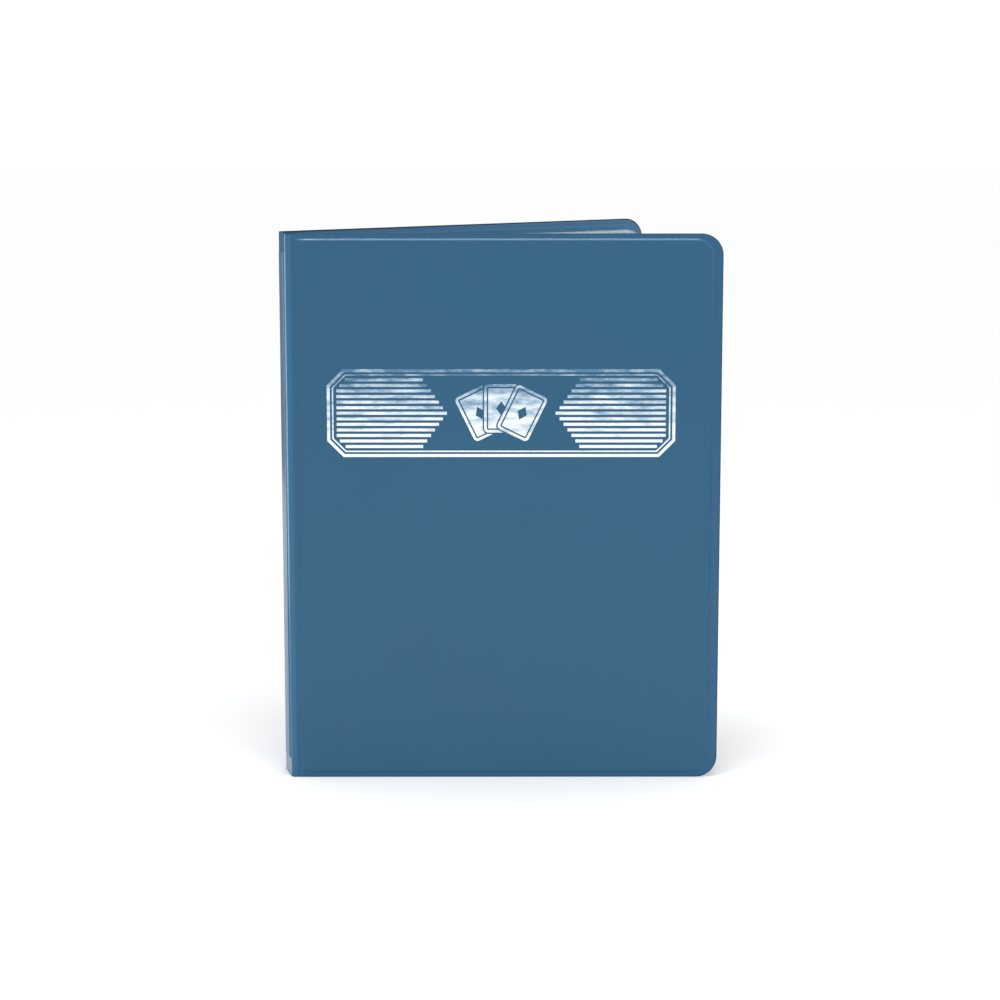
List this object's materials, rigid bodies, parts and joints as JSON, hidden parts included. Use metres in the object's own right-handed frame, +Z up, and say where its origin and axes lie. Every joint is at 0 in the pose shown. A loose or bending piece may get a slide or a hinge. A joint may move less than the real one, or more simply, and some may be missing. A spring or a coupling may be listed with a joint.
{
  "type": "trading card binder",
  "caption": "Stiff-covered vinyl album that stands ajar on its edge, with hinged covers and bound clear pages of pockets for trading cards.",
  "frame": {"origin": "middle of the footprint's box, on the surface that the album stands on", "axes": "+Z up along the spine, -Y out of the front cover's face, +X from the front fold to the front cover's fore edge"},
  "size_m": [0.2454, 0.1402, 0.307],
  "materials": {
    "vinyl_cover": "heat-sealed vinyl film with a low gloss",
    "vinyl_lining": "heat-sealed vinyl film, matt",
    "chipboard": "raw grey board",
    "page_film": "clear polypropylene film",
    "binding_tape": "moulded polypropylene strip",
    "silver_foil": "hot-stamped silver foil"
  },
  "bodies": {
    "spine": {"spine_outer_skin": "vinyl_cover", "spine_board": "chipboard", "spine_lining": "vinyl_lining", "binding_strip": "binding_tape", "page_stubs": "page_film"},
    "front_fold": {"front_fold_strip": "vinyl_cover"},
    "front_cover": {"front_outer_skin": "vinyl_cover", "front_board": "chipboard", "front_lining": "vinyl_lining", "front_foil_stamp": "silver_foil"},
    "back_fold": {"back_fold_strip": "vinyl_cover"},
    "back_cover": {"back_outer_skin": "vinyl_cover", "back_board": "chipboard", "back_lining": "vinyl_lining"},
    "page_01": {"page_01_sheet": "page_film", "page_01_pockets": "page_film"},
    "page_02": {"page_02_sheet": "page_film", "page_02_pockets": "page_film"},
    "page_03": {"page_03_sheet": "page_film", "page_03_pockets": "page_film"},
    "page_04": {"page_04_sheet": "page_film", "page_04_pockets": "page_film"},
    "page_05": {"page_05_sheet": "page_film", "page_05_pockets": "page_film"},
    "page_06": {"page_06_sheet": "page_film", "page_06_pockets": "page_film"},
    "page_07": {"page_07_sheet": "page_film", "page_07_pockets": "page_film"},
    "page_08": {"page_08_sheet": "page_film", "page_08_pockets": "page_film"},
    "page_09": {"page_09_sheet": "page_film", "page_09_pockets": "page_film"},
    "page_10": {"page_10_sheet": "page_film", "page_10_pockets": "page_film"}
  },
  "joints": [
    {"name": "front_fold_hinge", "type": "hinge", "parent": "spine", "child": "front_fold", "pos_m": [-0.11734, -0.06861, 0], "axis": [0, 0, -1], "range_deg": [-15, 75]},
    {"name": "front_cover_hinge", "type": "hinge", "parent": "front_fold", "child": "front_cover", "pos_m": [-0.11234, -0.06861, 0], "axis": [0, 0, -1], "range_deg": [0, 90]},
    {"name": "back_fold_hinge", "type": "hinge", "parent": "spine", "child": "back_fold", "pos_m": [-0.12226, -0.05026, 0], "axis": [0, 0, 1], "range_deg": [-15, 75]},
    {"name": "back_cover_hinge", "type": "hinge", "parent": "back_fold", "child": "back_cover", "pos_m": [-0.11793, -0.04776, 0], "axis": [0, 0, 1], "range_deg": [0, 90]},
    {"name": "page_01_hinge", "type": "hinge", "parent": "spine", "child": "page_01", "pos_m": [-0.1145, -0.06453, 0], "axis": [0, 0, -1], "range_deg": [-14.7, 73.5]},
    {"name": "page_02_hinge", "type": "hinge", "parent": "spine", "child": "page_02", "pos_m": [-0.11394, -0.06294, 0], "axis": [0, 0, -1], "range_deg": [-14.4, 72]},
    {"name": "page_03_hinge", "type": "hinge", "parent": "spine", "child": "page_03", "pos_m": [-0.11339, -0.06134, 0], "axis": [0, 0, -1], "range_deg": [-14.1, 70.5]},
    {"name": "page_04_hinge", "type": "hinge", "parent": "spine", "child": "page_04", "pos_m": [-0.11283, -0.05974, 0], "axis": [0, 0, -1], "range_deg": [-13.8, 69]},
    {"name": "page_05_hinge", "type": "hinge", "parent": "spine", "child": "page_05", "pos_m": [-0.11228, -0.05814, 0], "axis": [0, 0, -1], "range_deg": [-13.5, 67.5]},
    {"name": "page_06_hinge", "type": "hinge", "parent": "spine", "child": "page_06", "pos_m": [-0.11264, -0.05679, 0], "axis": [0, 0, 1], "range_deg": [-13.5, 67.5]},
    {"name": "page_07_hinge", "type": "hinge", "parent": "spine", "child": "page_07", "pos_m": [-0.11392, -0.05568, 0], "axis": [0, 0, 1], "range_deg": [-13.8, 69]},
    {"name": "page_08_hinge", "type": "hinge", "parent": "spine", "child": "page_08", "pos_m": [-0.1152, -0.05458, 0], "axis": [0, 0, 1], "range_deg": [-14.1, 70.5]},
    {"name": "page_09_hinge", "type": "hinge", "parent": "spine", "child": "page_09", "pos_m": [-0.11648, -0.05347, 0], "axis": [0, 0, 1], "range_deg": [-14.4, 72]},
    {"name": "page_10_hinge", "type": "hinge", "parent": "spine", "child": "page_10", "pos_m": [-0.11776, -0.05236, 0], "axis": [0, 0, 1], "range_deg": [-14.7, 73.5]}
  ],
  "couplings": [
    {"joint": "page_01_hinge", "follows": "front_fold_hinge", "ratio": 0.98},
    {"joint": "page_02_hinge", "follows": "front_fold_hinge", "ratio": 0.96},
    {"joint": "page_03_hinge", "follows": "front_fold_hinge", "ratio": 0.94},
    {"joint": "page_04_hinge", "follows": "front_fold_hinge", "ratio": 0.92},
    {"joint": "page_05_hinge", "follows": "front_fold_hinge", "ratio": 0.9},
    {"joint": "page_06_hinge", "follows": "back_fold_hinge", "ratio": 0.9},
    {"joint": "page_07_hinge", "follows": "back_fold_hinge", "ratio": 0.92},
    {"joint": "page_08_hinge", "follows": "back_fold_hinge", "ratio": 0.94},
    {"joint": "page_09_hinge", "follows": "back_fold_hinge", "ratio": 0.96},
    {"joint": "page_10_hinge", "follows": "back_fold_hinge", "ratio": 0.98}
  ]
}
